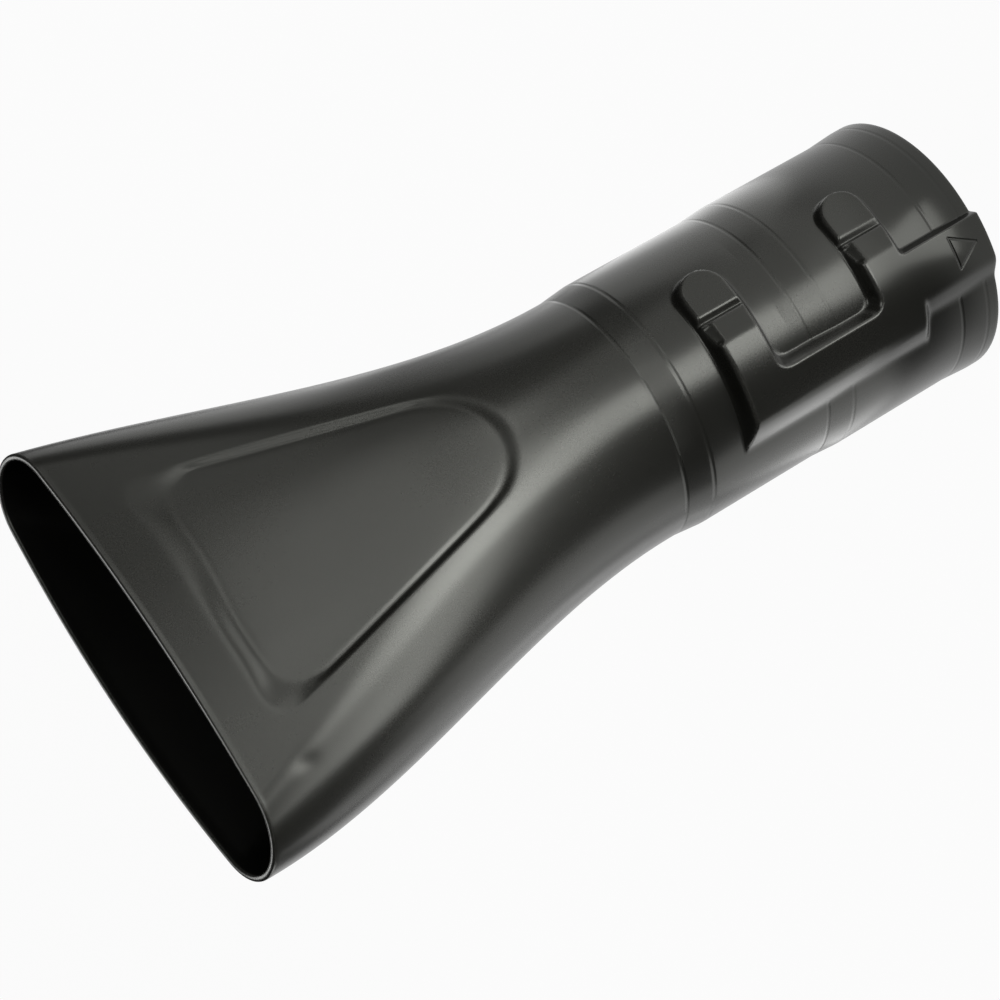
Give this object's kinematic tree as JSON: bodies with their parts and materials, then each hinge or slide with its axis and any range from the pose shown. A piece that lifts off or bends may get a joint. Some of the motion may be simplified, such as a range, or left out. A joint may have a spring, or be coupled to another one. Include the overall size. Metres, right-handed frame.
{
  "type": "leaf blower nozzle tube",
  "caption": "Blow-moulded flat nozzle for a leaf blower: a stepped round socket with a raised two-position bayonet track flares into a wide, flat mouth beside a recessed triangular panel.",
  "frame": {"origin": "on the socket's axis, in the plane of the socket's rim, which the nozzle stands on", "axes": "+Z along the socket's axis from the rim to the mouth, +X across the width of the mouth, -Y out of the face with the recessed panel"},
  "size_m": [0.1336, 0.082, 0.2694],
  "materials": {
    "moulding": "satin black, as moulded"
  },
  "bodies": {
    "root": {"nozzle_tube": "moulding"}
  },
  "joints": []
}
